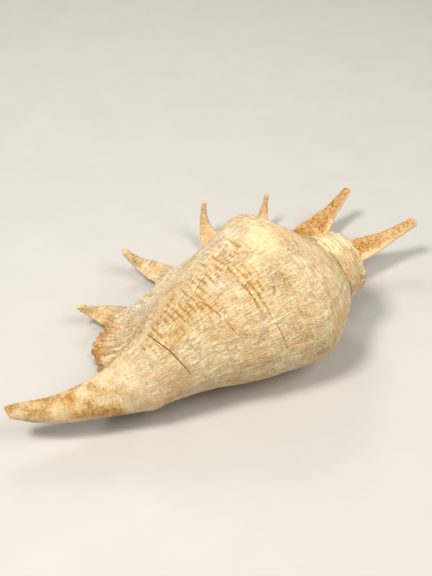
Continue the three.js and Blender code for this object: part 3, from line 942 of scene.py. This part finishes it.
def add_fine_lines(tree, here):
    """Two sets of fine lines, along the growth lines and along the cords, and how much each shows."""
    growth, cord, on_lip = here.growth, here.cord, here.on_lip
    front = tree.product(tree.step(growth, 14, 50), tree.step(cord, -28, -44), tree.step(cord, -84, -72))
    across = tree.maths("MAXIMUM", front, tree.product(on_lip, tree.step(growth, 138, 158)))
    across = tree.product(across, tree.step(here.on_finger, 0, 1, 1, 0.3))
    rough = tree.product(here.outside, tree.step(here.pale, 0, 1, 1, 0.4))
    here.growth_weight = tree.product(
        rough, tree.step(cord, -96, -36, 0.2, 1), tree.step(cord, 4, 66, 1, 0.35),
        tree.step(growth, 40, 70, 1, 1.2), tree.step(across, 0, 1, 1, 0.15),
    )
    cord_weight = tree.maths("MAXIMUM", tree.step(cord, 0, 46, 0.5, 1), tree.product(across, 1.9))
    here.cord_weight = tree.product(rough, cord_weight, tree.step(here.on_finger, 0, 1, 1, 0.35))

    here.fine_growth = tree.noise(tree.vector(growth, tree.product(cord, 0.22)), 1.7, 3.0, 0.6)
    on_body = tree.noise(tree.vector(cord, tree.product(growth, 0.09)), 1.3, 3.0, 0.6)
    across_lip = tree.noise(tree.vector(here.strand, tree.product(growth, 0.05)), 1.5, 2.0, 0.55)
    here.fine_cord = tree.blend(on_lip, on_body, across_lip)

    # The thin cut lines are shallow dips in the bump, and their colour is painted shade
    shown = tree.step(tree.noise(here.place, 6.0, 2.0), 0.38, 0.60, 0.5, 1.0)
    growth_cuts = tree.product(tree.cut(here.fine_growth), here.growth_weight, shown)
    cord_cuts = tree.product(tree.cut(here.fine_cord), here.cord_weight, shown)
    here.cuts = tree.maths("MAXIMUM", growth_cuts, cord_cuts)


def ground_colour(tree, here):
    """Cream and buff, chalky where worn and honey on the fingers, with browner painted shade in the valleys
    and thin cut lines of the fine lines and in the hollows between the cords at the front of the lip.
    """
    patches = tree.noise(here.place, 15, 3.0)
    chalky = tree.product(here.chalk, tree.step(here.stipple, 0.2, 0.7, 0.55, 0.95))
    unworn = tree.step(here.chalk, 0, 1, 1, 0.4)
    stippled = tree.product(tree.step(here.stipple, 0.52, 0.70), here.outside, unworn, 0.35)
    base = tree.mix(tree.step(patches, 0.36, 0.66), CREAM, BUFF)
    base = tree.mix(tree.product(here.pale, 0.7), base, PALE)
    base = tree.mix(chalky, base, CHALK)
    base = tree.mix(tree.product(here.tan, 0.75), base, HONEY)
    base = tree.mix(stippled, base, TAN_AND_SHADE)

    # Painted shade: the valleys of the fine growth and cord lines, where the bump is low, are mixed towards
    # tan
    growth_valley_shade = tree.product(tree.step(here.fine_growth, 0.50, 0.34), here.growth_weight)
    cord_valley_shade = tree.product(tree.step(here.fine_cord, 0.50, 0.34), here.cord_weight)
    base = tree.mix(tree.product(growth_valley_shade, unworn, 0.38), base, TAN_AND_SHADE)
    base = tree.mix(tree.product(cord_valley_shade, 0.42), base, TAN_AND_SHADE)
    # Painted shade: the thin cut lines are painted brown, and rust within the orange marks
    base = tree.mix(tree.product(here.cuts, 0.50), base, SHADE_BROWN)
    base = tree.mix(tree.product(here.cuts, here.marks, 0.45), base, RUST_AND_SHADE)

    front = tree.product(here.on_lip, tree.step(here.cord, 4, -22), tree.step(here.on_finger, 0, 1, 1, 0))
    # Painted shade: the hollows between the fanned cords at the front of the lip are painted brown
    groove_shade = tree.product(tree.step(here.rows, 0.30, 0.02), tree.step(here.stipple, 0.36, 0.52, 0.3, 1))
    return tree.mix(tree.product(groove_shade, front, here.outside, 0.45), base, SHADE_BROWN)


def with_marks(tree, here, base):
    """The orange marks: dashes along the cords, crossed by bars along the growth lines, in clusters."""
    clusters = tree.noise(tree.vector(here.cord, tree.product(here.growth, 0.8)), 8.0, 2.0)
    breaks = tree.noise(tree.vector(here.cord, tree.product(here.growth, 0.22)), 2.4, 1.0)
    gaps = tree.noise(tree.vector(here.growth, tree.product(here.cord, 0.4), 7.0), 2.2, 1.0)
    columns = tree.waves(here.growth, GROWTH_SPACING)
    dashes = tree.product(tree.step(here.rows, 0.30, 0.95), tree.step(breaks, 0.38, 0.54))
    bars = tree.product(tree.step(columns, 0.35, 0.95), tree.step(gaps, 0.42, 0.58))
    plaid = tree.total(tree.product(dashes, 0.85), tree.product(bars, 0.45))

    strength = tree.product(
        tree.step(clusters, 0.38, 0.50), tree.maths("MAXIMUM", here.marks, here.tan), here.outside,
        tree.step(here.on_finger, 0, 1, 1, 0.15),
    )
    worn_thin = tree.step(tree.noise(here.place, 1.1, 2.0), 0.32, 0.56, 0.35, 1.0)
    marked = tree.product(tree.step(tree.product(strength, plaid), 0.03, 0.50), worn_thin)
    dashed = tree.product(strength, dashes, tree.step(bars, 0, 1, 0.35, 1), worn_thin)
    base = tree.mix(tree.product(strength, 0.06), base, ORANGE)
    base = tree.mix(marked, base, ORANGE)
    return tree.mix(dashed, base, AMBER)


def with_stains(tree, here, base):
    """The blotches of orange and rust on the fingers, on the canal and at the front of the lip."""
    stained = tree.product(here.tan, here.outside)
    blotches = tree.step(tree.noise(here.place, 6.0, 3.0, 0.65), 0.46, 0.58, 0.15, 0.75)
    spots = tree.step(tree.noise(here.place, 3.4, 3.0, 0.65), 0.51, 0.57)
    flecks = tree.step(tree.noise(here.place, 2.0, 3.0, 0.7), 0.50, 0.57)
    base = tree.mix(tree.product(stained, blotches), base, tree.mix(here.on_finger, ORANGE, HONEY))
    base = tree.mix(tree.product(stained, spots, 0.8), base, AMBER)
    return tree.mix(tree.product(stained, flecks, 0.85), base, RUST_AND_SHADE)


def with_streaks(tree, here, base):
    """The amber streaks along the cords, each with a thin rusty core."""
    broken = tree.product(
        tree.step(here.fine_growth, 0.40, 0.54, 0.15, 0.85), tree.step(here.stipple, 0.36, 0.56, 0.4, 1.0),
    )
    stippled = tree.step(here.stipple, 0.40, 0.55, 0.1, 0.8)
    for streak in STREAKS:
        line = line_along_cord(tree, here, streak)
        core = line_along_cord(tree, here, {**streak, "width": STREAK_CORE})
        base = tree.mix(tree.product(line, broken, here.outside), base, AMBER)
        base = tree.mix(tree.product(core, stippled, here.outside), base, RUST_AND_SHADE)
    return base


def with_damage(tree, here, base):
    """The grey pitted places and the dark crack, which are kept for the relief too."""
    specks = tree.step(tree.noise(here.place, 1.5, 2.0), 0.56, 0.64)
    here.pitted = tree.product(here.pits, specks, here.outside)
    here.crack = tree.product(line_along_cord(tree, here, CRACK), here.outside)
    rim = tree.product(line_along_cord(tree, here, {**CRACK, "width": CRACK_RIM}), here.outside)
    base = tree.mix(tree.product(here.pits, 0.45), base, GREY)
    base = tree.mix(here.pitted, base, DARK)
    base = tree.mix(tree.product(rim, 0.4), base, RUST_AND_SHADE)
    return tree.mix(here.crack, base, DARK)


def fine_relief(tree, here):
    """The height of the detail that is too small for the mesh."""
    return tree.total(
        tree.product(here.fine_growth, here.growth_weight, 0.60),
        tree.product(here.fine_cord, here.cord_weight, 0.60),
        tree.product(here.stipple, here.outside, 0.25), tree.product(here.grain, 0.12),
        tree.product(here.cuts, -0.10), tree.product(here.pitted, -0.2), tree.product(here.crack, -0.2),
    )


def shell_material():
    """Dull and marked outside, pinkish cream and glossy inside."""
    tree = Tree("shell")
    here = shell_values(tree)
    base = ground_colour(tree, here)
    for step in (with_marks, with_stains, with_streaks, with_damage):
        base = step(tree, here, base)
    base = tree.mix(tree.product(here.inside, 0.75), base, NACRE)
    gloss = tree.total(here.inside, tree.product(here.grain, 0.2))
    roughness = tree.step(gloss, 0.1, 1.0, 0.66, 0.30)
    relief_here = fine_relief(tree, here)
    return tree.finish(relief_here, 3.0, Base_Color=base, Roughness=roughness, Specular_IOR_Level=0.25)


def floor_material():
    tree = Tree("floor")
    tone = tree.noise(tree.millimetres(), 40, 3.0)
    pale = tree.mix(tone, colour("bcbab6"), colour("c4c2be"))
    return tree.finish(tone, 0.02, Base_Color=pale, Roughness=0.7)


# ---- Floor, light and camera ----

CAMERA_TURN = -33.0
CAMERA_RISE = 40.0
CAMERA_AWAY = 0.48
AIM_OFFSET = Vector((-0.0085, -0.012, -0.004))


def direction(turn, rise):
    a, e = math.radians(turn), math.radians(rise)
    return Vector((math.sin(a) * math.cos(e), -math.cos(a) * math.cos(e), math.sin(e)))


def aimed(name, data, place, target):
    made = bpy.data.objects.new(name, data)
    made.location = place
    made.rotation_euler = (target - place).to_track_quat("-Z", "Y").to_euler()
    bpy.context.scene.collection.objects.link(made)
    return made


def softbox(name, centre, turn, rise, away, size, power, tint):
    light = bpy.data.lights.new(name, "AREA")
    light.size = size
    light.energy = power
    light.color = tint
    aimed(name, light, centre + direction(turn, rise) * away, centre)


def floor():
    mesh = bpy.data.meshes.new("floor")
    bm = bmesh.new()
    bmesh.ops.create_circle(bm, cap_ends=True, segments=96, radius=4.0)
    bm.to_mesh(mesh)
    bm.free()
    made = bpy.data.objects.new("floor", mesh)
    bpy.context.scene.collection.objects.link(made)
    mesh.materials.append(floor_material())
    made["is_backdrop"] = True


def studio(centre):
    world = bpy.data.worlds.new("studio")
    world.use_nodes = True
    background = world.node_tree.nodes["Background"]
    background.inputs["Color"].default_value = (1, 0.98, 0.95, 1)
    background.inputs["Strength"].default_value = 0.28
    bpy.context.scene.world = world
    softbox("key", centre, turn=-80, rise=60, away=1.3, size=0.28, power=16, tint=(1, 0.95, 0.87))
    softbox("fill", centre, turn=29, rise=50, away=1.5, size=0.8, power=13.5, tint=(1, 0.95, 0.88))
    softbox("rim", centre, turn=160, rise=48, away=1.4, size=0.4, power=4.5, tint=(1, 0.97, 0.92))


def camera(centre):
    data = bpy.data.cameras.new("camera")
    data.lens = 50
    data.sensor_width = 36
    target = centre + AIM_OFFSET
    place = target + direction(CAMERA_TURN, CAMERA_RISE) * CAMERA_AWAY
    bpy.context.scene.camera = aimed("camera", data, place, target)


# ---- The scene ----

cad_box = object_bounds()
shell_piece()
middle = (cad_box[0] + cad_box[1]) / 2
floor()
studio(middle)
camera(middle)
bpy.context.scene.view_settings.view_transform = "Standard"
